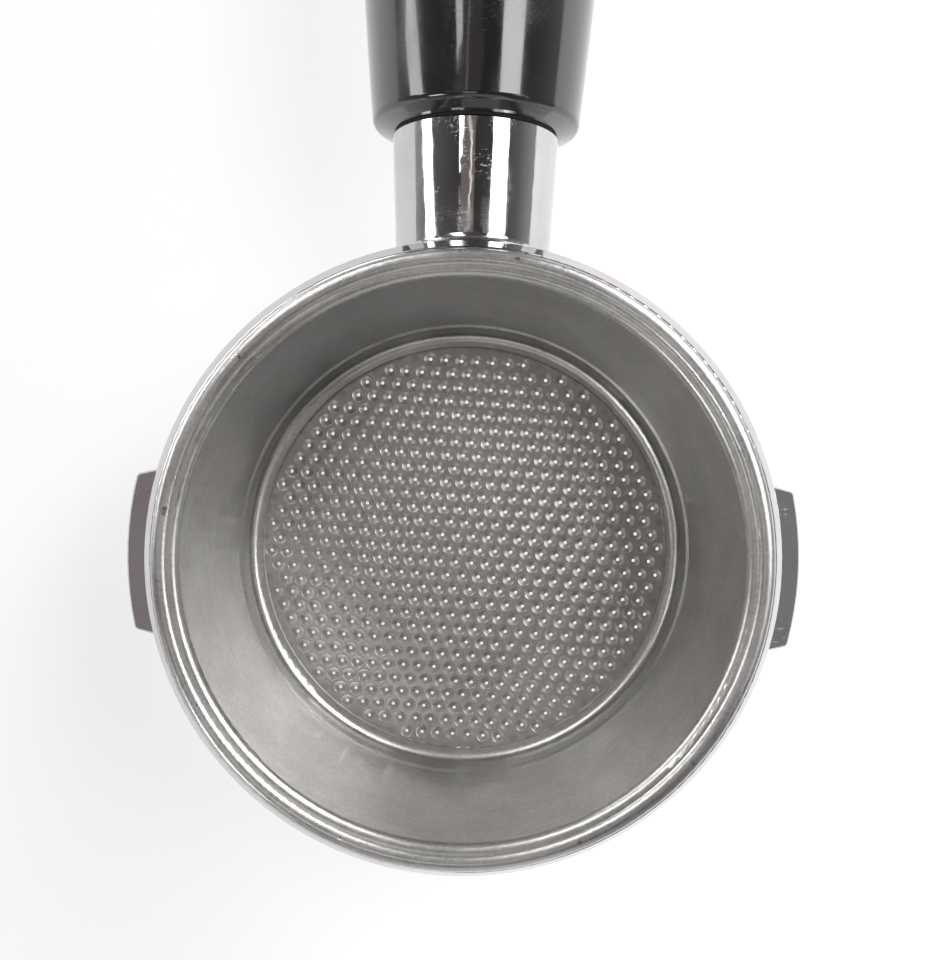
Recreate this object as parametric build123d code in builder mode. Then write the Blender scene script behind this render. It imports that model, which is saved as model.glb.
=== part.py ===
from build123d import *
import os
from math import asin, cos, degrees, hypot, radians, sin, sqrt

# A bottomless espresso portafilter: a chromed ring with two bayonet lugs and an arm,
# a sprung-in filter basket with a perforated floor, and a moulded grip on a tie rod.
# Millimetres. The origin is the centre of the base ring, +Z is up through the basket's
# mouth and +Y runs along the grip.

# ---- Filter basket ------------------------------------------------------------------
mouth_radius = 31.05  # inside the wall, just below the lip
sheet = 0.7  # wall of the basket
basket_depth = 24.5  # from the rim it hangs on to the underside of the floor
wall_taper = 2.2  # how much narrower the wall is at its foot
wall_foot_depth = 19.3  # below the rim
shoulder_step = 0.3  # how far the wall steps in at the bottom, above the round of the cup
shoulder_depth = 20.7
shoulder_drop = 0.45  # height of that step
foot_lean = 0.15  # of the wall between its foot and the shoulder
cup_round_inset = 0.75  # from the shoulder in to the corner that the cup's round replaces
cup_round = 1.1
flange_width = 2.95
flange_height = 0.85  # top of the flange between the bead and the lip
flange_underside_round = 0.35
bead_width = 1.9  # flattened rolled edge
bead_height = 1.3
lip_round = 1.0  # of the flange where it runs into the wall

# ---- Perforated screen --------------------------------------------------------------
screen_inset = 2.15  # from the shoulder of the basket in to the screen's edge
screen_thickness = 0.6
screen_edge_round = 0.35
screen_ledge = 0.6  # how far the floor of the cup reaches in under the screen
hole_radius = 0.22
hole_pitch = 2.0
pattern_margin = 1.0  # from the screen's edge to the outermost hole centres
pattern_turn = -2.2  # degrees, the rows of holes against the X axis
dimple_radius = 0.8
dimple_angle = 160.0

# ---- Ring of the holder -------------------------------------------------------------
rim_z = 27.5  # height of the rim that carries the basket
basket_gap = 0.3  # radial clearance round the basket in its seat
ring_wall = 3.35
rim_shoulder = 0.3  # the rim's edge outside the basket's flange
rim_slope_height = 1.8  # height of the sloping shoulder under the rim
shoulder_round = 0.5
rim_round = 0.5
seat_mouth_chamfer = 0.5
ledge_drop = 15.0  # below the rim, where the seat bore narrows
ledge_width = 1.45
base_outer_round = 2.4
base_inner_round = 0.8

# ---- Bayonet lugs -------------------------------------------------------------------
lug_reach = 2.75
lug_root_half_angle = 15.7
lug_end_half_angle = 13.4
lug_drop = 4.5  # top of the lugs below the rim
lug_height = 7.0
lug_corner_radius = 0.7
lug_edge_chamfer = 0.2

# ---- Retaining spring ---------------------------------------------------------------
wire_radius = 0.6
groove_drop = 8.0  # middle of the groove below the rim
groove_side_gap = 0.4  # above and below the wire
groove_depth = 1.5
groove_gap = 0.12  # between the spring's corners and the bottom of the groove
spring_basket_gap = 0.35  # between the spring's flats and the basket wall
spring_bow = 5.35  # how much flatter than the ring the spring's long sides are bent
spring_opening = 7.0

# ---- Arm and grip -------------------------------------------------------------------
arm_axis_drop = 12.0  # below the rim
arm_length = 13.85  # from the ring's outside
arm_root_radius = 8.95  # where the cone starts, inside the ring's wall
arm_end_radius = 9.75
arm_root_inset = 0.5
arm_root_blend = 1.0
arm_end_chamfer = 0.3
washer_thickness = 0.25
washer_inset = 0.3
grip_length = 117.5
grip_front_overhang = 2.35  # of the grip's front edge past the arm
grip_front_fall = 0.85  # how far the front face falls back from the arm to its edge
grip_belly_radius = 15.2
grip_belly_share = 0.413  # of the length, from the front face to the thickest place
grip_front_round = 0.8
grip_butt_round = 2.4

# ---- Tie rod and its fittings -------------------------------------------------------
rod_radius = 4.0
rod_engagement = 12.0
rod_gap = 0.3  # clearance hole for the rod in the grip and the washers
bush_gap = 0.05
bush_wall = 2.95
bush_length = 14.0
bush_flange_inset = 1.1  # of the bush's flange from the arm's end radius
bush_flange_thickness = 1.2
nut_across_flats = 13.0
nut_thickness = 6.5
nut_corner_turning = 0.6
rod_past_nut = 1.5
socket_room = 1.7  # round the nut's corners, for a socket spanner
flat_washer_width = 3.7
flat_washer_thickness = 1.6
spring_washer_width = 2.8
spring_washer_thickness = 2.0
spring_washer_slot = 1.2
cap_ledge = 1.0  # seat of the cap's head round the pocket
cap_head_thickness = 2.0
cap_dome = 0.9
cap_skirt_length = 3.5
cap_wall = 1.4
cap_clear = 1.9  # between the cap's skirt and the end of the rod
butt_rim = 2.8  # of the grip round the cap
end_chamfer = 0.5

# ---- Sizes that follow: basket and ring -------------------------------------------------
basket_outer_radius = mouth_radius + sheet
flange_radius = mouth_radius + flange_width
wall_foot_radius = mouth_radius - wall_taper
shoulder_radius = wall_foot_radius - foot_lean - shoulder_step
wall_slope = wall_taper / wall_foot_depth
screen_radius = shoulder_radius - screen_inset
cup_corner_radius = shoulder_radius - cup_round_inset
pattern_radius = screen_radius - pattern_margin
floor_z = rim_z - basket_depth
screen_bottom_z = floor_z + sheet
seat_radius = basket_outer_radius + basket_gap
wall_radius = seat_radius + ring_wall
rim_outer_radius = flange_radius + rim_shoulder
bore_radius = seat_radius - ledge_width
ledge_z = rim_z - ledge_drop
lug_radius = wall_radius + lug_reach
lug_inner_x = wall_radius * cos(radians(lug_root_half_angle)) - lug_reach / 4  # inside the ring
lug_bottom_z = rim_z - lug_drop - lug_height
groove_z = rim_z - groove_drop
groove_radius = seat_radius + groove_depth
groove_height = 2 * (wire_radius + groove_side_gap)

# ---- Sizes that follow: arm, grip and rod -------------------------------------------------
arm_axis_z = rim_z - arm_axis_drop
arm_root_y = seat_radius + arm_root_inset
arm_end_y = wall_radius + arm_length
hole_clearance = rod_radius + rod_gap
bush_radius = rod_radius + bush_gap + bush_wall
bush_flange_radius = arm_end_radius - bush_flange_inset
nut_pocket_radius = nut_across_flats / sqrt(3) + socket_room
cap_head_radius = nut_pocket_radius + cap_ledge
grip_front_radius = arm_end_radius + grip_front_overhang
grip_butt_radius = cap_head_radius + butt_rim
grip_front_y = arm_end_y + washer_thickness
grip_edge_y = grip_front_y + grip_front_fall
grip_end_y = grip_front_y + grip_length
cap_seat_y = grip_end_y - cap_head_thickness
rod_start_y = arm_end_y - rod_engagement
rod_end_y = cap_seat_y - cap_skirt_length - cap_clear
nut_end_y = rod_end_y - rod_past_nut
spring_washer_end_y = nut_end_y - nut_thickness
flat_washer_end_y = spring_washer_end_y - spring_washer_thickness
nut_seat_y = flat_washer_end_y - flat_washer_thickness
flat_washer_radius = hole_clearance + flat_washer_width
spring_washer_radius = hole_clearance + spring_washer_width

handle_axis = Axis((0, 0, arm_axis_z), (0, 1, 0))
# Half section of whatever turns about the handle's axis: across is along +Y, up is radius.
handle_section = Plane(origin=(0, 0, arm_axis_z), x_dir=(0, 1, 0), z_dir=(1, 0, 0))


def handle_plane(y):
    """Plane across the handle's axis, facing +Y, at distance y from the origin."""
    return Plane(origin=(0, y, arm_axis_z), x_dir=(1, 0, 0), z_dir=(0, 1, 0))


def polar(radius, angle):
    return Vector(radius * cos(radians(angle)), radius * sin(radians(angle)))


# ---- Holder: ring, lugs, arm --------------------------------------------------------
with BuildPart() as holder_body:
    # half section of the ring
    with BuildSketch(Plane.XZ) as ring_section:
        with BuildLine():
            Polyline(
                (bore_radius, 0),
                (wall_radius, 0),
                (wall_radius, rim_z - rim_slope_height),
                (rim_outer_radius, rim_z),
                (seat_radius + seat_mouth_chamfer, rim_z),
                (seat_radius, rim_z - seat_mouth_chamfer),
                (seat_radius, ledge_z),
                (bore_radius, ledge_z - (seat_radius - bore_radius)),
                close=True,
            )
        make_face()
        for corner, radius in (
            ((bore_radius, 0), base_inner_round),
            ((wall_radius, 0), base_outer_round),
            ((wall_radius, rim_z - rim_slope_height), shoulder_round),
            ((rim_outer_radius, rim_z), rim_round),
        ):
            fillet(ring_section.vertices().sort_by_distance(corner)[0], radius)
    revolve(axis=Axis.Z)

    # two bayonet lugs on the X axis
    with BuildSketch(Plane.XY.offset(lug_bottom_z)) as lug_outline:
        with BuildLine():
            low_root = polar(wall_radius, -lug_root_half_angle)
            high_root = polar(wall_radius, lug_root_half_angle)
            low_end = polar(lug_radius, -lug_end_half_angle)
            high_end = polar(lug_radius, lug_end_half_angle)
            Line(low_root, low_end)
            ThreePointArc(low_end, (lug_radius, 0), high_end)
            Line(high_end, high_root)
            Polyline(high_root, (lug_inner_x, high_root.Y), (lug_inner_x, low_root.Y), low_root)
        make_face()
        for corner in (low_end, high_end):
            fillet(lug_outline.vertices().sort_by_distance(corner)[0], lug_corner_radius)
    lug = extrude(amount=lug_height)
    mirror(lug, about=Plane.YZ)
    lug_rims = [
        edge for edge in holder_body.edges().filter_by(GeomType.CIRCLE)
        if abs(edge.arc_center.X) < 0.01
        and abs(edge.radius - lug_radius) < 0.01
    ]
    chamfer(lug_rims, lug_edge_chamfer)

    # arm towards the grip
    with BuildSketch(handle_section):
        with BuildLine():
            Polyline(
                (arm_root_y, 0),
                (arm_root_y, arm_root_radius),
                (arm_end_y, arm_end_radius),
                (arm_end_y, 0),
                close=True,
            )
        make_face()
    revolve(axis=handle_axis)
    arm_end_edge = holder_body.edges().filter_by(GeomType.CIRCLE).sort_by(Axis.Y)[-1]
    chamfer(arm_end_edge, arm_end_chamfer)

    def at_arm_root(edge):
        """True for the edges where the arm's cone runs into the ring's outside."""
        middle = edge.position_at(0.5)
        off_axis = hypot(middle.X, middle.Z - arm_axis_z)
        return arm_root_radius < off_axis < arm_end_radius and middle.Y < wall_radius + 0.1

    fillet(holder_body.edges().filter_by(at_arm_root), arm_root_blend)

    # groove of the retaining spring
    with BuildSketch(Plane.XZ):
        with Locations((seat_radius + groove_depth / 2, groove_z)):
            Rectangle(groove_depth, groove_height)
    revolve(axis=Axis.Z, mode=Mode.SUBTRACT)

    # threaded hole for the tie rod, with a countersunk mouth
    with BuildSketch(handle_plane(arm_end_y)):
        Circle(rod_radius)
    extrude(amount=-rod_engagement, mode=Mode.SUBTRACT)
holder_body.part.label = "holder_body"

# ---- Retaining spring: a rounded triangle of tangent arcs, open on one side -----------
basket_radius_at_wire = mouth_radius + sheet - wall_slope * (rim_z - groove_z)
flat_distance = basket_radius_at_wire + spring_basket_gap + wire_radius
flat_arc_radius = basket_radius_at_wire + spring_bow
corner_distance = groove_radius - groove_gap - wire_radius
flat_centre = flat_arc_radius - flat_distance
# radius of the corner arcs that meet the long arcs tangentially
corner_arc_radius = (
    flat_arc_radius**2 - flat_centre**2 - corner_distance**2 - flat_centre * corner_distance
) / (2 * flat_arc_radius - 2 * corner_distance - flat_centre)
corner_centre = corner_distance - corner_arc_radius


def wire_point(centre_distance, arc_radius, facing, offset=0.0):
    """Point of an arc that faces a direction, its centre on that line, offset degrees along it."""
    middle = polar(centre_distance, facing) + polar(arc_radius, facing + offset)
    return Vector(middle.X, middle.Y, groove_z)


def tangent_point(flat_angle, corner_angle):
    """Where the long arc facing flat_angle runs into the corner arc facing corner_angle."""
    long_centre = polar(-flat_centre, flat_angle)
    across = polar(corner_centre, corner_angle) - long_centre
    point = long_centre + across.normalized() * flat_arc_radius
    return Vector(point.X, point.Y, groove_z)


with BuildPart() as retaining_spring:
    half_opening = degrees(spring_opening / 2 / flat_arc_radius)
    open_side = 270
    with BuildLine() as spring_path:
        first_end = wire_point(-flat_centre, flat_arc_radius, open_side, half_opening)
        last_end = wire_point(-flat_centre, flat_arc_radius, open_side, -half_opening)
        beside_first = wire_point(-flat_centre, flat_arc_radius, open_side, 2 * half_opening)
        beside_last = wire_point(-flat_centre, flat_arc_radius, open_side, -2 * half_opening)
        ThreePointArc(first_end, beside_first, tangent_point(open_side, open_side + 60))
        for corner in (open_side + 60, open_side + 180, open_side + 300):
            leaving = tangent_point(corner + 60, corner)
            ThreePointArc(
                tangent_point(corner - 60, corner),
                wire_point(corner_centre, corner_arc_radius, corner),
                leaving,
            )
            if corner != open_side + 300:
                ThreePointArc(
                    leaving,
                    wire_point(-flat_centre, flat_arc_radius, corner + 60),
                    tangent_point(corner + 60, corner + 120),
                )
        ThreePointArc(tangent_point(open_side, open_side - 60), beside_last, last_end)
    with BuildSketch(Plane(origin=spring_path.line @ 0, z_dir=spring_path.line % 0)):
        Circle(wire_radius)
    sweep(path=spring_path.line)
retaining_spring.part.label = "retaining_spring"

# ---- Filter basket --------------------------------------------------------------------
with BuildPart() as filter_basket:
    with BuildSketch(Plane.XZ) as basket_section:
        with BuildLine():
            # flattened rolled edge: an ellipse from the underside, round the outside, to the flange
            bead_half_height = bead_height / 2
            bead_middle = flange_radius - bead_width / 2
            meeting_angle = degrees(asin((flange_height - bead_half_height) / bead_half_height))
            bead = EllipticalCenterArc(
                (bead_middle, rim_z + bead_half_height),
                bead_width / 2,
                bead_half_height,
                start_angle=-90,
                arc_size=270 - meeting_angle,
            )
            foot_z = rim_z - wall_foot_depth
            shoulder_z = rim_z - shoulder_depth
            Polyline(
                bead @ 1,
                (mouth_radius, rim_z + flange_height),
                (wall_foot_radius, foot_z),
                (wall_foot_radius - foot_lean, shoulder_z),
                (shoulder_radius, shoulder_z - shoulder_drop),
                (cup_corner_radius, screen_bottom_z),
                (screen_radius - screen_ledge, screen_bottom_z),
                (screen_radius - screen_ledge, floor_z),
                (cup_corner_radius + sheet, floor_z),
                (shoulder_radius + sheet, shoulder_z - shoulder_drop),
                (wall_foot_radius - foot_lean + sheet, shoulder_z),
                (wall_foot_radius + sheet, foot_z),
                (basket_outer_radius, rim_z),
                bead @ 0,
            )
        make_face()
        for corner, radius in (
            ((mouth_radius, rim_z + flange_height), lip_round),
            ((basket_outer_radius, rim_z), flange_underside_round),
            ((cup_corner_radius, screen_bottom_z), cup_round),
            ((cup_corner_radius + sheet, floor_z), cup_round + sheet),
        ):
            fillet(basket_section.vertices().sort_by_distance(corner)[0], radius)
    revolve(axis=Axis.Z)
filter_basket.part.label = "filter_basket"

# ---- Perforated screen ----------------------------------------------------------------
with BuildPart() as screen_disc:
    with BuildSketch(Plane.XY.offset(screen_bottom_z)):
        Circle(screen_radius)
    extrude(amount=screen_thickness)
    fillet(screen_disc.edges().filter_by(GeomType.CIRCLE).sort_by(Axis.Z)[-1], screen_edge_round)
    # holes in rows half a pitch apart, one of them in the middle
    row_spacing = hole_pitch * sqrt(3) / 2
    row_reach = int(pattern_radius / row_spacing)
    column_reach = int(pattern_radius / hole_pitch) + 1
    grid = [
        (hole_pitch * (column + row % 2 / 2), row_spacing * row)
        for row in range(-row_reach, row_reach + 1)
        for column in range(-column_reach, column_reach + 1)
    ]
    top_plane = Plane.XY.offset(screen_bottom_z + screen_thickness)
    with Locations(top_plane.rotated((0, 0, pattern_turn))):
        with Locations(*[spot for spot in grid if hypot(*spot) < pattern_radius]):
            CounterSinkHole(hole_radius, dimple_radius, counter_sink_angle=dimple_angle)
screen_disc.part.label = "screen_disc"

# ---- Tie rod: screws into the arm and runs through the grip ----------------------------
with BuildPart() as tie_rod:
    with BuildSketch(handle_plane(rod_start_y)):
        Circle(rod_radius)
    extrude(amount=rod_end_y - rod_start_y)
    chamfer(tie_rod.edges().filter_by(GeomType.CIRCLE), end_chamfer)
tie_rod.part.label = "tie_rod"

# ---- Fibre washer between the arm and the grip ------------------------------------------
with BuildPart() as neck_washer:
    with BuildSketch(handle_plane(arm_end_y)):
        Circle(arm_end_radius - washer_inset)
        Circle(hole_clearance, mode=Mode.SUBTRACT)
    extrude(amount=washer_thickness)
neck_washer.part.label = "neck_washer"

# ---- Grip ---------------------------------------------------------------------------------
with BuildPart() as grip:
    with BuildSketch(handle_section) as grip_half:
        with BuildLine():
            side = ThreePointArc(
                (grip_edge_y, grip_front_radius),
                (grip_front_y + grip_belly_share * grip_length, grip_belly_radius),
                (grip_end_y, grip_butt_radius),
            )
            Polyline(side @ 1, (grip_end_y, 0), (grip_front_y, 0), (grip_front_y, arm_end_radius), side @ 0)
        make_face()
        for corner, radius in (
            ((grip_edge_y, grip_front_radius), grip_front_round),
            ((grip_end_y, grip_butt_radius), grip_butt_round),
        ):
            fillet(grip_half.vertices().sort_by_distance(corner)[0], radius)
    revolve(axis=handle_axis)
    # bore for the rod, seat of the bush, pocket of the nut, recess of the cap
    for start_y, end_y, radius in (
        (grip_front_y, grip_end_y, hole_clearance),
        (grip_front_y, grip_front_y + bush_length, bush_radius),
        (grip_front_y, grip_front_y + bush_flange_thickness, bush_flange_radius),
        (nut_seat_y, grip_end_y, nut_pocket_radius),
        (cap_seat_y, grip_end_y, cap_head_radius),
    ):
        with BuildSketch(handle_plane(start_y)):
            Circle(radius)
        extrude(amount=end_y - start_y, mode=Mode.SUBTRACT)
grip.part.label = "grip"

# ---- Brass bush at the mouth of the grip ----------------------------------------------------
with BuildPart() as grip_bush:
    with BuildSketch(handle_plane(grip_front_y)):
        Circle(bush_radius)
    extrude(amount=bush_length)
    with BuildSketch(handle_plane(grip_front_y)):
        Circle(bush_flange_radius)
    extrude(amount=bush_flange_thickness)
    with BuildSketch(handle_plane(grip_front_y)):
        Circle(rod_radius + bush_gap)
    extrude(amount=bush_length, mode=Mode.SUBTRACT)
grip_bush.part.label = "grip_bush"

# ---- Washers and nut on the rod ---------------------------------------------------------------
with BuildPart() as flat_washer:
    with BuildSketch(handle_plane(nut_seat_y)):
        Circle(flat_washer_radius)
        Circle(hole_clearance, mode=Mode.SUBTRACT)
    extrude(amount=flat_washer_thickness)
flat_washer.part.label = "flat_washer"

with BuildPart() as spring_washer:
    with BuildSketch(handle_plane(flat_washer_end_y)):
        Circle(spring_washer_radius)
        Circle(hole_clearance, mode=Mode.SUBTRACT)
        with Locations((spring_washer_radius, 0)):
            Rectangle(4 * spring_washer_width, spring_washer_slot, mode=Mode.SUBTRACT)
    extrude(amount=spring_washer_thickness)
spring_washer.part.label = "spring_washer"

with BuildPart() as rod_nut:
    with BuildSketch(handle_plane(spring_washer_end_y)):
        RegularPolygon(nut_across_flats / 2, 6, major_radius=False)
    extrude(amount=nut_thickness)
    # corners turned off by a cone at each end
    with BuildSketch(handle_section) as nut_turning:
        with BuildLine():
            half_corners = nut_across_flats / sqrt(3)
            Polyline(
                (spring_washer_end_y, 0),
                (spring_washer_end_y, nut_across_flats / 2),
                (spring_washer_end_y + nut_corner_turning, half_corners),
                (nut_end_y - nut_corner_turning, half_corners),
                (nut_end_y, nut_across_flats / 2),
                (nut_end_y, 0),
                close=True,
            )
        make_face()
    revolve(axis=handle_axis, mode=Mode.INTERSECT)
    with BuildSketch(handle_plane(spring_washer_end_y)):
        Circle(rod_radius)
    extrude(amount=nut_thickness, mode=Mode.SUBTRACT)
rod_nut.part.label = "rod_nut"

# ---- Cap that closes the butt -------------------------------------------------------------------
with BuildPart() as end_cap:
    with BuildSketch(handle_section):
        with BuildLine():
            dome = ThreePointArc(
                (grip_end_y + cap_dome, 0),
                (grip_end_y + 0.75 * cap_dome, cap_head_radius / 2),
                (grip_end_y, cap_head_radius),
            )
            Polyline(
                dome @ 1,
                (cap_seat_y, cap_head_radius),
                (cap_seat_y, nut_pocket_radius),
                (cap_seat_y - cap_skirt_length, nut_pocket_radius),
                (cap_seat_y - cap_skirt_length, nut_pocket_radius - cap_wall),
                (cap_seat_y, nut_pocket_radius - cap_wall),
                (cap_seat_y, 0),
                dome @ 0,
            )
        make_face()
    revolve(axis=handle_axis)
end_cap.part.label = "end_cap"

# ---- Files ------------------------------------------------------------------------------------------
pieces = (
    holder_body, retaining_spring, filter_basket, screen_disc, tie_rod, neck_washer,
    grip, grip_bush, flat_washer, spring_washer, rod_nut, end_cap,
)
os.makedirs("parts", exist_ok=True)
for piece in pieces:
    export_step(piece.part, f"parts/{piece.part.label}.step")
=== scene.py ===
import math
import bpy
from mathutils import Matrix, Vector


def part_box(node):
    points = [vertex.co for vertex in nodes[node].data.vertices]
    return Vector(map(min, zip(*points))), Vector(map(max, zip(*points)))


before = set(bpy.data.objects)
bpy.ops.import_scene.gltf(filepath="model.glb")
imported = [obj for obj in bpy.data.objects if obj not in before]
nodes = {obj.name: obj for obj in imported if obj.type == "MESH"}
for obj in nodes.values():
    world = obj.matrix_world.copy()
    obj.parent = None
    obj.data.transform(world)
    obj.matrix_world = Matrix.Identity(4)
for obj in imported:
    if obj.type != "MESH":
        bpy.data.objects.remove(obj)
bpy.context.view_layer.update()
mm = 0.001

# places that everything else is set up from, read off the frame
ringLow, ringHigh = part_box("holder_body")
gripLow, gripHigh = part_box("grip")
baseHeight = ringLow[2]
rimHeight = ringHigh[2]
handleHeight = 0.5 * (gripLow[2] + gripHigh[2])
print("frame loaded:", len(nodes), "pieces")


def makeCamera():
    view = {
        "eye": (0.49, 9.75, 122.1),  # mm, above the rim
        "lean": 2.63,  # degrees
        "swing": 0.32,
        "roll": 1.6,
        "focal": 42.0,
        "sensor": 36.0,
        "shift": (-0.0071, 0.0478),
        "reach": (0.01, 20.0),  # nearest and farthest thing it shows, m
    }
    lens = bpy.data.cameras.new("camera")
    lens.sensor_width = view["sensor"]
    lens.lens = view["focal"]
    lens.shift_x, lens.shift_y = view["shift"]
    lens.clip_start, lens.clip_end = view["reach"]
    camera = bpy.data.objects.new("camera", lens)
    bpy.context.scene.collection.objects.link(camera)
    turn = (
        Matrix.Rotation(math.radians(view["roll"]), 4, "Z")
        @ Matrix.Rotation(math.radians(-view["lean"]), 4, "X")
        @ Matrix.Rotation(math.radians(-view["swing"]), 4, "Y")
    )
    x, y, z = view["eye"]
    camera.matrix_world = Matrix.Translation((x * mm, y * mm, rimHeight + z * mm)) @ turn
    bpy.context.scene.camera = camera
    return camera


def addPanel(name, centre, aim, along, size, power, colour=(1, 1, 1)):
    # size is (across, along); the long side lies in the direction given by along
    light = bpy.data.lights.new(name, "AREA")
    light.shape = "RECTANGLE"
    light.size, light.size_y = size
    light.energy = power
    light.color = colour
    lamp = bpy.data.objects.new(name, light)
    bpy.context.scene.collection.objects.link(lamp)
    backward = (Vector(centre) - Vector(aim)).normalized()
    across = Vector(along).cross(backward).normalized()
    upward = backward.cross(across)
    turn = Matrix((across, upward, backward)).transposed().to_4x4()
    lamp.matrix_world = Matrix.Translation(centre) @ turn
    return lamp


def addStrip(strip):
    # strip light beside the grip: each end is (degrees from straight up, distance along the grip)
    distance = strip["distance"]

    def endPoint(angle, along):
        angle = math.radians(angle)
        return Vector((distance * math.sin(angle), along, handleHeight + distance * math.cos(angle)))

    start, stop = endPoint(*strip["from"]), endPoint(*strip["to"])
    centre = 0.5 * (start + stop)
    width = 2 * distance * math.tan(math.radians(0.5 * strip["width"]))
    length = (stop - start).length
    aim = (0, centre[1], handleHeight)
    power = strip["glow"] * math.pi * width * length
    colour = strip.get("colour", (1, 1, 1))
    return addPanel(strip["name"], centre, aim, stop - start, (width, length), power, colour)


def addCard(card):
    # soft square light in a direction from the ring: tilt off the vertical, turn round from +X
    tilt, turn = math.radians(card["tilt"]), math.radians(card["turn"])
    distance = card["distance"]
    centre = Vector((
        distance * math.sin(tilt) * math.cos(turn),
        distance * math.sin(tilt) * math.sin(turn),
        rimHeight + distance * math.cos(tilt),
    ))
    size = card["size"]
    power = card["glow"] * math.pi * size * size
    colour = card.get("colour", (1, 1, 1))
    return addPanel(card["name"], centre, (0, 0, rimHeight), (0, 1, 0.01), (size, size), power, colour)


def makeLights():
    near = {"distance": 0.7}  # m, the same for all of them
    # strips give the long streaks down the grip and the arm; their width is in degrees, seen from the grip
    strips = [
        {"name": "stripLeftNear", "from": (-57, 0.03), "to": (-74, 0.26), "width": 11, "glow": 4.0},
        {"name": "stripLeftFar", "from": (-74, 0.26), "to": (-74, 0.9), "width": 13, "glow": 5.5},
        {"name": "windowLeft", "from": (-27, 0.25), "to": (-26, 0.9), "width": 18, "glow": 4.4},
        {"name": "windowLeftSliver", "from": (-18, 0.17), "to": (-20, 0.24), "width": 6, "glow": 4.0},
        {"name": "windowRight", "from": (34, 0.02), "to": (38, 0.9), "width": 22, "glow": 5.5},
        {"name": "boardOverhead", "from": (-6, 0.02), "to": (-6, 0.25), "width": 24, "glow": 0.17,
         "colour": (1.0, 0.80, 0.72)},
        {"name": "seamLeft", "from": (-13, 0.02), "to": (-9, 0.25), "width": 1.2, "glow": 1.0},
        {"name": "seamRight", "from": (3, 0.02), "to": (0, 0.25), "width": 1.2, "glow": 1.0},
    ]
    # cards light the basket's wall, its floor and the two lugs: tilt and turn in degrees, size in metres
    cards = [
        {"name": "lampUpperRight", "tilt": 58, "turn": 44, "size": 0.18, "glow": 13.0},
        {"name": "lampLowerLeft", "tilt": 58, "turn": 222, "size": 0.18, "glow": 6.0},
        {"name": "glowLowerLeft", "tilt": 19, "turn": 246, "size": 0.18, "glow": 1.7},
        {"name": "lampRight", "tilt": 45, "turn": 345, "size": 0.16, "glow": 1.6},
        {"name": "windowBehind", "tilt": 62, "turn": 275, "size": 0.5, "glow": 0.5},
        {"name": "wallRight", "tilt": 24, "turn": 2, "size": 0.26, "glow": 0.22},
        {"name": "curtainLeft", "tilt": 24, "turn": 190, "size": 0.22, "glow": 0.24,
         "colour": (1.0, 0.86, 0.86)},
    ]
    for strip in strips:
        addStrip({**near, **strip})
    for card in cards:
        addCard({**near, **card})


def makeWorld():
    # dim warm ceiling straight up, paler towards the walls of the room
    sky = {
        "zenith": (0.050, 0.046, 0.045),
        "side": (0.15, 0.148, 0.146),
        "low": (0.40, 0.40, 0.40),
        "sideHeight": 0.45,
        "strength": 1.0,
    }
    world = bpy.data.worlds.new("studio")
    bpy.context.scene.world = world
    world.use_nodes = True
    tree = world.node_tree
    direction = tree.nodes.new("ShaderNodeTexCoord")
    split = tree.nodes.new("ShaderNodeSeparateXYZ")
    ramp = tree.nodes.new("ShaderNodeValToRGB")
    tree.links.new(direction.outputs["Generated"], split.inputs[0])
    tree.links.new(split.outputs["Z"], ramp.inputs["Fac"])
    tree.links.new(ramp.outputs["Color"], tree.nodes["Background"].inputs["Color"])
    stops = ramp.color_ramp.elements
    stops[0].position, stops[0].color = 0.0, (*sky["low"], 1)
    stops[1].position, stops[1].color = 1.0, (*sky["zenith"], 1)
    middle = stops.new(sky["sideHeight"])
    middle.color = (*sky["side"], 1)
    tree.nodes["Background"].inputs["Strength"].default_value = sky["strength"]


makeCamera()
makeLights()
makeWorld()
bpy.context.scene.view_settings.view_transform = "Standard"
print("camera and lights placed")


def put(tree, kind, **settings):
    node = tree.nodes.new(kind)
    for key, value in settings.items():
        if hasattr(node, key):
            setattr(node, key, value)
        else:
            node.inputs[key.replace("_", " ")].default_value = value
    return node


def calc(tree, operation, first, second=None, third=None, clamp=False):
    node = tree.nodes.new("ShaderNodeMath")
    node.operation = operation
    node.use_clamp = clamp
    for socket, value in zip(node.inputs, (first, second, third)):
        if value is None:
            continue
        if isinstance(value, (int, float)):
            socket.default_value = value
        else:
            tree.links.new(value, socket)
    return node.outputs[0]


def times(tree, first, second):
    return calc(tree, "MULTIPLY", first, second)


def plus(tree, first, second):
    return calc(tree, "ADD", first, second)


def band(tree, value, low, high, bottom=0.0, top=1.0):
    # smooth step of a value between low and high
    node = tree.nodes.new("ShaderNodeMapRange")
    node.interpolation_type = "SMOOTHSTEP"
    tree.links.new(value, node.inputs["Value"])
    for label, amount in (("From Min", low), ("From Max", high), ("To Min", bottom), ("To Max", top)):
        node.inputs[label].default_value = amount
    return node.outputs["Result"]


def blendColour(tree, factor, first, second):
    node = tree.nodes.new("ShaderNodeMix")
    node.data_type = "RGBA"
    tree.links.new(factor, node.inputs["Factor"])
    colourInputs = [socket for socket in node.inputs if socket.type == "RGBA"]
    for socket, value in zip(colourInputs, (first, second)):
        if isinstance(value, tuple):
            socket.default_value = (*value, 1)
        else:
            tree.links.new(value, socket)
    return next(socket for socket in node.outputs if socket.type == "RGBA")


def stretched(tree, vector, scale, turn=(0, 0, 0)):
    node = tree.nodes.new("ShaderNodeMapping")
    tree.links.new(vector, node.inputs["Vector"])
    node.inputs["Scale"].default_value = scale
    node.inputs["Rotation"].default_value = [math.radians(angle) for angle in turn]
    return node.outputs["Vector"]


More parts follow.
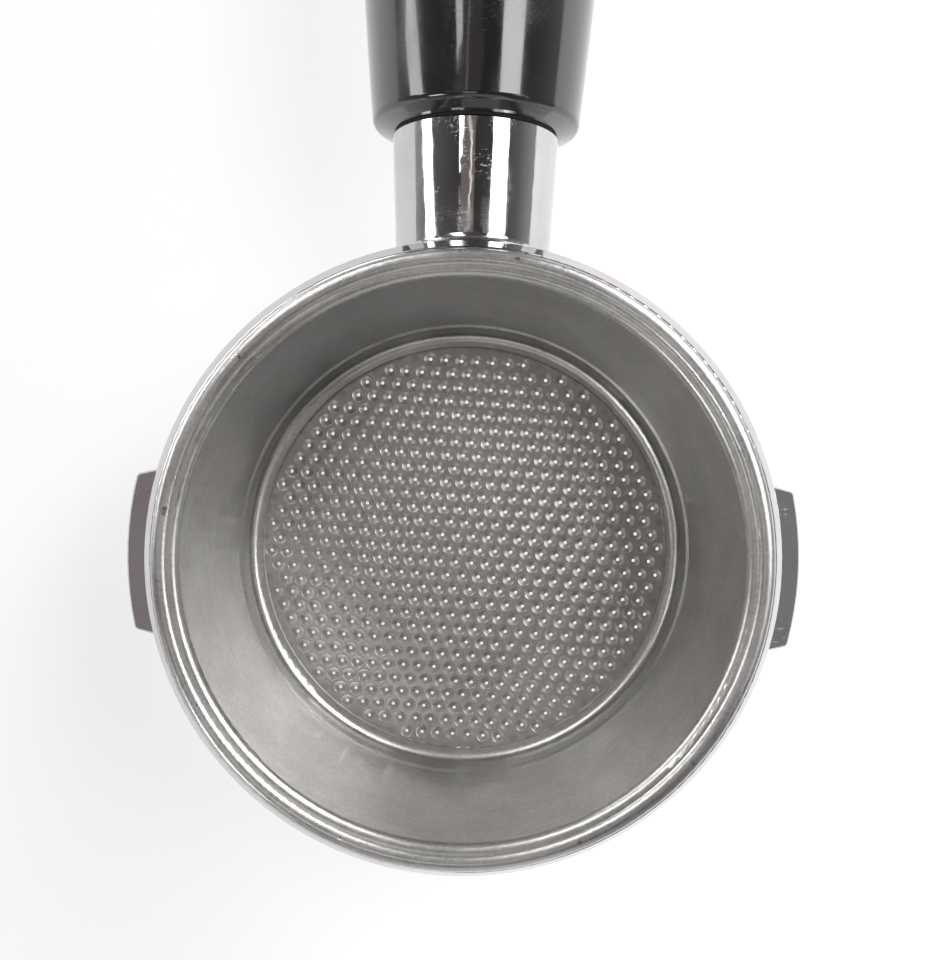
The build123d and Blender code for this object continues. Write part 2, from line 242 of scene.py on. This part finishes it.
def scaledBy(tree, vector, amount):
    # amount is a number, or a socket that carries one
    node = put(tree, "ShaderNodeVectorMath", operation="SCALE")
    tree.links.new(vector, node.inputs[0])
    if isinstance(amount, float):
        node.inputs["Scale"].default_value = amount
    else:
        tree.links.new(amount, node.inputs["Scale"])
    return node.outputs[0]


def noise(tree, vector, scale, detail=2.0, roughness=0.5):
    node = put(tree, "ShaderNodeTexNoise", Scale=scale, Detail=detail, Roughness=roughness)
    tree.links.new(vector, node.inputs["Vector"])
    return node.outputs["Fac"]


def patches(tree, vector, scale, low, high, detail=2.0, roughness=0.5):
    # soft-edged spots: noise that starts to show at low and is full at high
    return band(tree, noise(tree, vector, scale, detail, roughness), low, high)


def newGroup(name, inputs, outputs):
    tree = bpy.data.node_groups.new(name, "ShaderNodeTree")
    for label, kind, value in inputs:
        socket = tree.interface.new_socket(label, in_out="INPUT", socket_type=kind)
        if value is not None:
            socket.default_value = value
    for label, kind in outputs:
        tree.interface.new_socket(label, in_out="OUTPUT", socket_type=kind)
    return tree, tree.nodes.new("NodeGroupInput"), tree.nodes.new("NodeGroupOutput")


floatKind, vectorKind = "NodeSocketFloat", "NodeSocketVector"


def makePlaceGroup():
    # places in millimetres: plain, and as rings round the cup that wander a little
    tree, start, end = newGroup("placeInMm", [], [("Place", vectorKind), ("Rings", vectorKind)])
    mmPerMetre = 1000.0
    wander = {"scale": 0.08, "amount": 9.0}  # per mm, mm
    place = put(tree, "ShaderNodeTexCoord")
    spot = scaledBy(tree, place.outputs["Object"], mmPerMetre)
    split = put(tree, "ShaderNodeSeparateXYZ")
    tree.links.new(spot, split.inputs[0])
    x, y, z = split.outputs
    radius = calc(tree, "SQRT", plus(tree, times(tree, x, x), times(tree, y, y)))
    drift = times(tree, noise(tree, spot, wander["scale"]), wander["amount"])
    join = put(tree, "ShaderNodeCombineXYZ")
    for source, socket in ((drift, "X"), (z, "Y"), (radius, "Z")):
        tree.links.new(source, join.inputs[socket])
    tree.links.new(spot, end.inputs["Place"])
    tree.links.new(join.outputs[0], end.inputs["Rings"])
    return tree


def makeScratchGroup():
    # short straight hairlines in three directions, gathered in patches
    tree, start, end = newGroup(
        "hairScratches",
        [("Place", vectorKind, None), ("Size", floatKind, 1.0), ("Amount", floatKind, 0.5)],
        [("Mask", floatKind)],
    )
    hair = {"stretch": (0.55, 9.0, 9.0), "low": 0.69, "high": 0.76}
    directions = [  # degrees, and how far the noise is moved so that no two sets match
        ((0, 0, 38), 0.0),
        ((0, 0, -24), 7.0),
        ((20, 15, 77), 13.0),
    ]
    spot = scaledBy(tree, start.outputs["Place"], start.outputs["Size"])
    total = None
    for turn, shift in directions:
        moved = put(tree, "ShaderNodeVectorMath", operation="ADD")
        moved.inputs[1].default_value = (shift, shift, shift)
        tree.links.new(stretched(tree, spot, hair["stretch"], turn), moved.inputs[0])
        lines = patches(tree, moved.outputs[0], 1.0, hair["low"], hair["high"], detail=1.0)
        total = lines if total is None else calc(tree, "MAXIMUM", total, lines)
    where = patches(tree, spot, scale=0.16, low=0.42, high=0.62)
    mask = times(tree, times(tree, total, where), start.outputs["Amount"])
    tree.links.new(mask, end.inputs["Mask"])
    return tree


def makeGrainGroup():
    # satin grain: sandy noise, finer lines that follow the drawing of the metal, and soft clouds
    tree, start, end = newGroup(
        "satinGrain",
        [
            ("Place", vectorKind, None),
            ("Rings", vectorKind, None),
            ("Sand", floatKind, 3.0),
            ("Lines", floatKind, 2.0),
        ],
        [("Height", floatKind), ("Tone", floatKind)],
    )
    height = {"sand": 0.75, "lines": 0.25}
    tone = {"sand": 0.35, "lines": 0.25, "clouds": 0.4}
    sandSpot = scaledBy(tree, start.outputs["Place"], start.outputs["Sand"])
    lineSpot = scaledBy(tree, start.outputs["Rings"], start.outputs["Lines"])
    layers = {
        "sand": noise(tree, sandSpot, scale=1.0, detail=2.0, roughness=0.6),
        "lines": noise(tree, lineSpot, scale=1.0, detail=3.0, roughness=0.6),
        "clouds": noise(tree, start.outputs["Place"], scale=0.11, detail=3.0, roughness=0.55),
    }
    for label, shares in (("Height", height), ("Tone", tone)):
        total = None
        for layer, share in shares.items():
            part = times(tree, layers[layer], share)
            total = part if total is None else plus(tree, total, part)
        tree.links.new(total, end.inputs[label])
    return tree


def makeSmudgeGroup():
    # fingerprints, dried drops and wiped patches, for roughness and faint dulling
    tree, start, end = newGroup(
        "handlingMarks",
        [("Place", vectorKind, None), ("Size", floatKind, 1.0)],
        [("Smudge", floatKind), ("Drops", floatKind)],
    )
    drop = {"spacing": 0.55, "inner": (0.10, 0.17), "outer": (0.20, 0.15)}
    spot = scaledBy(tree, start.outputs["Place"], start.outputs["Size"])
    smudge = patches(tree, spot, scale=0.12, low=0.40, high=0.70, detail=5.0, roughness=0.62)
    tree.links.new(smudge, end.inputs["Smudge"])
    cells = put(tree, "ShaderNodeTexVoronoi", feature="F1", Scale=drop["spacing"])
    tree.links.new(spot, cells.inputs["Vector"])
    away = cells.outputs["Distance"]
    rim = times(tree, band(tree, away, *drop["inner"]), band(tree, away, *drop["outer"]))
    some = patches(tree, spot, scale=0.3, low=0.55, high=0.62, detail=1.0)
    tree.links.new(times(tree, rim, some), end.inputs["Drops"])
    return tree


def makeEdgeGroup():
    # raised edges that handling has worn, broken up by noise
    tree, start, end = newGroup(
        "edgeWear", [("Place", vectorKind, None), ("Reach", floatKind, 0.06)], [("Mask", floatKind)]
    )
    flat = 0.5  # what the geometry node calls neither raised nor sunk
    shape = put(tree, "ShaderNodeNewGeometry")
    raised = calc(tree, "SUBTRACT", shape.outputs["Pointiness"], flat)
    ratio = calc(tree, "DIVIDE", raised, start.outputs["Reach"])
    broken = noise(tree, start.outputs["Place"], scale=1.4, detail=3.0, roughness=0.6)
    worn = times(tree, calc(tree, "MAXIMUM", ratio, 0.0), broken)
    tree.links.new(band(tree, worn, 0.25, 0.75), end.inputs["Mask"])
    return tree


placeGroup = makePlaceGroup()
scratchGroup = makeScratchGroup()
grainGroup = makeGrainGroup()
smudgeGroup = makeSmudgeGroup()
edgeGroup = makeEdgeGroup()


def useGroup(tree, group, vector=None, rings=None, **values):
    node = tree.nodes.new("ShaderNodeGroup")
    node.node_tree = group
    if vector is not None:
        tree.links.new(vector, node.inputs["Place"])
    if rings is not None:
        tree.links.new(rings, node.inputs["Rings"])
    for label, value in values.items():
        node.inputs[label].default_value = value
    return node


def startFinish(name, **constants):
    # material with one Principled shader; the fixed numbers go straight on its sockets
    material = bpy.data.materials.new(name)
    material.use_nodes = True
    tree = material.node_tree
    shader = tree.nodes["Principled BSDF"]
    for label, value in constants.items():
        shader.inputs[label.replace("_", " ")].default_value = value
    place = useGroup(tree, placeGroup)
    return material, tree, shader, place


def addBumps(tree, shader, *layers):
    # each layer is a height from 0 to 1 and the metres that 1 stands for
    previous = None
    for height, depth in layers:
        node = put(tree, "ShaderNodeBump", Strength=1.0, Distance=depth)
        tree.links.new(height, node.inputs["Height"])
        if previous is not None:
            tree.links.new(previous, node.inputs["Normal"])
        previous = node.outputs["Normal"]
    tree.links.new(previous, shader.inputs["Normal"])


def addRoughness(tree, shader, gloss, *parts):
    # the smoothest value plus each mask times its share
    total = None
    for mask, share in parts:
        part = times(tree, mask, share)
        total = part if total is None else plus(tree, total, part)
    tree.links.new(plus(tree, total, gloss), shader.inputs["Roughness"])


print("shared effects built")


def makeChrome():
    look = {
        "tone": (0.60, 0.60, 0.615),
        "dull": (0.47, 0.455, 0.455),  # fingerprints and dried drops
        "tinge": (0.58, 0.52, 0.55),  # warm cast where the plating is thin
        "worn": (0.56, 0.51, 0.44),  # brass showing at rubbed edges
        "smudgeShare": 0.35,
        "dropShare": 0.4,
        "tingeShare": 0.5,
        "wornShare": 0.35,
        "gloss": 0.03,
        "smear": 0.10,
        "scuff": 0.3,
        "peelDepth": 0.022 * mm,
        "polishDepth": 0.006 * mm,
        "scratchDepth": 0.004 * mm,
    }
    material, tree, shader, place = startFinish("polishedChrome", Metallic=1.0)
    spot = place.outputs["Place"]
    marks = useGroup(tree, smudgeGroup, spot, Size=1.0)
    lines = useGroup(tree, scratchGroup, spot, Size=1.3, Amount=0.8)
    edges = useGroup(tree, edgeGroup, spot, Reach=0.08)
    smudge, drops = marks.outputs["Smudge"], marks.outputs["Drops"]
    dull = calc(
        tree, "MAXIMUM", times(tree, smudge, look["smudgeShare"]), times(tree, drops, look["dropShare"])
    )
    colour = blendColour(tree, dull, look["tone"], look["dull"])
    tinge = times(tree, patches(tree, spot, scale=0.21, low=0.45, high=0.68), look["tingeShare"])
    colour = blendColour(tree, tinge, colour, look["tinge"])
    worn = times(tree, edges.outputs["Mask"], look["wornShare"])
    colour = blendColour(tree, worn, colour, look["worn"])
    tree.links.new(colour, shader.inputs["Base Color"])
    scratches = lines.outputs["Mask"]
    addRoughness(tree, shader, look["gloss"], (smudge, look["smear"]), (scratches, look["scuff"]))
    peel = noise(tree, spot, scale=0.30)
    # polishing lines round the arm, rougher in patches
    hairs = noise(tree, stretched(tree, spot, (0.8, 4.5, 0.8)), scale=1.0, detail=3.0, roughness=0.65)
    polish = times(tree, hairs, patches(tree, spot, scale=0.13, low=0.46, high=0.62))
    addBumps(
        tree,
        shader,
        (peel, look["peelDepth"]),
        (polish, look["polishDepth"]),
        (scratches, look["scratchDepth"]),
    )
    return material


def makeBasketSteel():
    look = {
        "tone": (0.66, 0.655, 0.645),
        "dark": (0.48, 0.475, 0.465),
        "stain": (0.50, 0.46, 0.41),  # old coffee
        "worn": (0.80, 0.79, 0.77),
        "stainShare": 0.25,
        "wornShare": 0.6,
        "gloss": 0.22,
        "spread": 0.20,
        "polished": 0.14,  # how much smoother a rubbed edge is
        "grainDepth": 0.014 * mm,
        "scratchDepth": 0.006 * mm,
    }
    material, tree, shader, place = startFinish("satinBasket", Metallic=1.0)
    spot, rings = place.outputs["Place"], place.outputs["Rings"]
    grain = useGroup(tree, grainGroup, spot, rings, Sand=2.6, Lines=2.2)
    marks = useGroup(tree, smudgeGroup, spot, Size=1.2)
    lines = useGroup(tree, scratchGroup, spot, Size=1.0, Amount=0.5)
    edges = useGroup(tree, edgeGroup, spot, Reach=0.10)
    tone, rubbed = grain.outputs["Tone"], edges.outputs["Mask"]
    colour = blendColour(tree, band(tree, tone, 0.36, 0.64), look["dark"], look["tone"])
    stained = times(tree, marks.outputs["Smudge"], look["stainShare"])
    colour = blendColour(tree, stained, colour, look["stain"])
    colour = blendColour(tree, times(tree, rubbed, look["wornShare"]), colour, look["worn"])
    tree.links.new(colour, shader.inputs["Base Color"])
    addRoughness(tree, shader, look["gloss"], (tone, look["spread"]), (rubbed, -look["polished"]))
    addBumps(
        tree,
        shader,
        (grain.outputs["Height"], look["grainDepth"]),
        (lines.outputs["Mask"], look["scratchDepth"]),
    )
    return material


def dimpleDistance(tree, spot, pitch, turn):
    # distance in mm to the nearest hole of the screen, taken over two grids that lie half a step apart
    split = put(tree, "ShaderNodeSeparateXYZ")
    tree.links.new(stretched(tree, spot, (1, 1, 1), (0, 0, -turn)), split.inputs[0])
    rowGap = pitch * math.sqrt(3) / 2
    farGrid = 100  # whole steps added so that no place has a negative number
    found = []
    for xShift, yShift in ((0.0, 0.0), (0.5 * pitch, rowGap)):
        x = plus(tree, split.outputs["X"], farGrid * pitch + xShift)
        y = plus(tree, split.outputs["Y"], farGrid * rowGap + yShift)
        across = calc(tree, "PINGPONG", x, 0.5 * pitch)
        along = calc(tree, "PINGPONG", y, rowGap)
        squares = plus(tree, times(tree, across, across), times(tree, along, along))
        found.append(calc(tree, "SQRT", squares))
    return calc(tree, "MINIMUM", *found)


def makeScreenSteel():
    look = {
        "tone": (0.50, 0.495, 0.487),
        "stain": (0.30, 0.275, 0.255),  # coffee stains in patches, and the painted shade inside the dimples round the holes
        "dark": (0.45, 0.43, 0.42),
        "stainShare": 0.35,
        "dimpleShadeShare": 0.5,
        "darkShare": 0.3,
        "gloss": 0.24,
        "spread": 0.18,
        "pitch": 2.0,  # mm between holes, as drilled
        "turn": -2.2,  # degrees
        "lip": (0.70, 0.81, 0.84, 0.97),  # mm from a hole: the burr that punching raised
        "dentDepth": 0.03 * mm,
        "grainDepth": 0.010 * mm,
        "lipDepth": 0.012 * mm,
        "scratchDepth": 0.004 * mm,
    }
    material, tree, shader, place = startFinish("punchedScreen", Metallic=1.0)
    spot, rings = place.outputs["Place"], place.outputs["Rings"]
    grain = useGroup(tree, grainGroup, spot, rings, Sand=2.4, Lines=1.0)
    marks = useGroup(tree, smudgeGroup, spot, Size=1.5)
    lines = useGroup(tree, scratchGroup, spot, Size=1.1, Amount=0.6)
    tone = grain.outputs["Tone"]
    away = dimpleDistance(tree, spot, look["pitch"], look["turn"])
    lipStart, lipTop, lipFall, lipEnd = look["lip"]
    lip = times(tree, band(tree, away, lipStart, lipTop), band(tree, away, lipEnd, lipFall))
    # the punch went deeper in some patches than in others
    lip = times(tree, lip, patches(tree, spot, scale=0.22, low=0.34, high=0.62))
    stain = times(tree, marks.outputs["Smudge"], look["stainShare"])
    # painted shade: each dimple is darkened towards its hole, on top of the coffee stains
    dimpleShade = band(tree, away, 0.62, 0.30, 0.0, look["dimpleShadeShare"])
    colour = blendColour(tree, calc(tree, "MAXIMUM", stain, dimpleShade), look["tone"], look["stain"])
    clouds = band(tree, tone, 0.62, 0.38, 0.0, look["darkShare"])
    tree.links.new(blendColour(tree, clouds, colour, look["dark"]), shader.inputs["Base Color"])
    addRoughness(tree, shader, look["gloss"], (tone, look["spread"]))
    addBumps(
        tree,
        shader,
        (noise(tree, spot, scale=0.5), look["dentDepth"]),
        (grain.outputs["Height"], look["grainDepth"]),
        (lip, look["lipDepth"]),
        (lines.outputs["Mask"], look["scratchDepth"]),
    )
    return material


def makePhenolic():
    look = {
        "tone": (0.011, 0.011, 0.012),
        "dust": (0.06, 0.058, 0.055),
        "smudgeShare": 0.15,
        "speckShare": 0.5,
        "edgeShare": 0.6,
        "gloss": 0.10,
        "smear": 0.16,
        "scuff": 0.3,
        "waveDepth": 0.012 * mm,
        "pebbleDepth": 0.0016 * mm,
        "scratchDepth": 0.005 * mm,
    }
    material, tree, shader, place = startFinish(
        "blackPhenolic", Metallic=0.0, IOR=1.62, Coat_Weight=0.7, Coat_Roughness=0.05, Coat_IOR=1.6
    )
    spot = place.outputs["Place"]
    marks = useGroup(tree, smudgeGroup, spot, Size=0.8)
    lines = useGroup(tree, scratchGroup, spot, Size=0.9, Amount=0.7)
    edges = useGroup(tree, edgeGroup, spot, Reach=0.05)
    smudge, scratches = marks.outputs["Smudge"], lines.outputs["Mask"]
    specks = patches(tree, spot, scale=3.1, low=0.72, high=0.78)
    dusty = times(tree, smudge, look["smudgeShare"])
    dusty = calc(tree, "MAXIMUM", dusty, times(tree, specks, look["speckShare"]))
    dusty = calc(tree, "MAXIMUM", dusty, times(tree, edges.outputs["Mask"], look["edgeShare"]))
    tree.links.new(blendColour(tree, dusty, look["tone"], look["dust"]), shader.inputs["Base Color"])
    addRoughness(tree, shader, look["gloss"], (smudge, look["smear"]), (scratches, look["scuff"]))
    addBumps(
        tree,
        shader,
        (noise(tree, spot, scale=0.35), look["waveDepth"]),
        (noise(tree, spot, scale=4.5), look["pebbleDepth"]),
        (scratches, look["scratchDepth"]),
    )
    return material


def makeCapPlastic():
    look = {
        "tone": (0.016, 0.016, 0.017),
        "handled": (0.030, 0.029, 0.028),
        "worn": (0.07, 0.07, 0.07),
        "roughness": (0.30, 0.48),
        "grainDepth": 0.012 * mm,
    }
    material, tree, shader, place = startFinish("mouldedCap", Metallic=0.0)
    spot = place.outputs["Place"]
    marks = useGroup(tree, smudgeGroup, spot, Size=1.6)
    edges = useGroup(tree, edgeGroup, spot, Reach=0.05)
    colour = blendColour(tree, marks.outputs["Smudge"], look["tone"], look["handled"])
    colour = blendColour(tree, edges.outputs["Mask"], colour, look["worn"])
    tree.links.new(colour, shader.inputs["Base Color"])
    grain = noise(tree, spot, scale=3.0, detail=3.0, roughness=0.7)
    tree.links.new(band(tree, grain, 0.2, 0.8, *look["roughness"]), shader.inputs["Roughness"])
    addBumps(tree, shader, (grain, look["grainDepth"]))
    return material


def makeFibre():
    look = {
        "dark": (0.010, 0.010, 0.010),
        "light": (0.035, 0.032, 0.030),
        "roughness": (0.6, 0.85),
        "fibreDepth": 0.03 * mm,
    }
    material, tree, shader, place = startFinish("sealingFibre", Metallic=0.0)
    long = stretched(tree, place.outputs["Place"], (0.8, 4.0, 4.0), (0, 30, 50))
    fibres = noise(tree, long, scale=1.0, detail=4.0, roughness=0.7)
    colour = blendColour(tree, band(tree, fibres, 0.3, 0.7), look["dark"], look["light"])
    tree.links.new(colour, shader.inputs["Base Color"])
    tree.links.new(band(tree, fibres, 0.2, 0.8, *look["roughness"]), shader.inputs["Roughness"])
    addBumps(tree, shader, (fibres, look["fibreDepth"]))
    return material


def makeFittingMetal(look):
    # turned and plated small parts: rod, nut, washers, bush, spring wire
    material, tree, shader, place = startFinish(look["name"], Metallic=1.0)
    spot, rings = place.outputs["Place"], place.outputs["Rings"]
    edgeGain = 1.25  # how much brighter a worn edge is
    grainDepth = 0.01 * mm
    worn = tuple(min(1.0, edgeGain * part) for part in look["tone"])
    grain = useGroup(tree, grainGroup, spot, rings, Sand=3.5, Lines=1.5)
    marks = useGroup(tree, smudgeGroup, spot, Size=2.0)
    edges = useGroup(tree, edgeGroup, spot, Reach=0.06)
    colour = blendColour(tree, marks.outputs["Smudge"], look["tone"], look["dark"])
    colour = blendColour(tree, edges.outputs["Mask"], colour, worn)
    tree.links.new(colour, shader.inputs["Base Color"])
    addRoughness(tree, shader, look["gloss"], (grain.outputs["Tone"], look["spread"]))
    addBumps(tree, shader, (grain.outputs["Height"], grainDepth))
    return material


zinc = {"name": "zincPlatedSteel", "tone": (0.60, 0.61, 0.63), "dark": (0.40, 0.40, 0.40),
        "gloss": 0.22, "spread": 0.2}
wire = {"name": "springWire", "tone": (0.55, 0.55, 0.55), "dark": (0.35, 0.33, 0.31),
        "gloss": 0.2, "spread": 0.15}
brass = {"name": "turnedBrass", "tone": (0.72, 0.55, 0.27), "dark": (0.42, 0.30, 0.15),
         "gloss": 0.25, "spread": 0.2}
zincSteel = makeFittingMetal(zinc)
finishes = {
    "holder_body": makeChrome(),
    "retaining_spring": makeFittingMetal(wire),
    "filter_basket": makeBasketSteel(),
    "screen_disc": makeScreenSteel(),
    "tie_rod": zincSteel,
    "neck_washer": makeFibre(),
    "grip": makePhenolic(),
    "grip_bush": makeFittingMetal(brass),
    "flat_washer": zincSteel,
    "spring_washer": zincSteel,
    "rod_nut": zincSteel,
    "end_cap": makeCapPlastic(),
}
for name, finish in finishes.items():
    mesh = nodes[name].data
    mesh.materials.clear()
    mesh.materials.append(finish)
print("finishes on", len(finishes), "pieces")


def makeFloor():
    # pale sheet, lit a little from below so that light comes up through the holes of the screen
    sheet = {
        "half": 1.5,
        "drop": 0.1 * mm,
        "tone": 0.35,
        "roughness": 0.9,
        "glow": (0.62, 0.86),  # dimmer on the left
        "fade": (-0.06, 0.03),  # where it goes from the one to the other
    }
    half, height = sheet["half"], baseHeight - sheet["drop"]
    corners = [(-half, -half, height), (half, -half, height), (half, half, height), (-half, half, height)]
    mesh = bpy.data.meshes.new("floor")
    mesh.from_pydata(corners, [], [(0, 1, 2, 3)])
    floor = bpy.data.objects.new("floor", mesh)
    bpy.context.scene.collection.objects.link(floor)
    material = bpy.data.materials.new("paleFloor")
    material.use_nodes = True
    tree = material.node_tree
    shader = tree.nodes["Principled BSDF"]
    tone = sheet["tone"]
    shader.inputs["Base Color"].default_value = (tone, tone, tone, 1)
    shader.inputs["Roughness"].default_value = sheet["roughness"]
    shader.inputs["Specular IOR Level"].default_value = 0.0
    shader.inputs["Emission Color"].default_value = (1, 1, 1, 1)
    place = put(tree, "ShaderNodeTexCoord")
    split = put(tree, "ShaderNodeSeparateXYZ")
    tree.links.new(place.outputs["Object"], split.inputs[0])
    glow = band(tree, split.outputs["X"], *sheet["fade"], *sheet["glow"])
    tree.links.new(glow, shader.inputs["Emission Strength"])
    mesh.materials.append(material)


makeFloor()
print("floor laid")
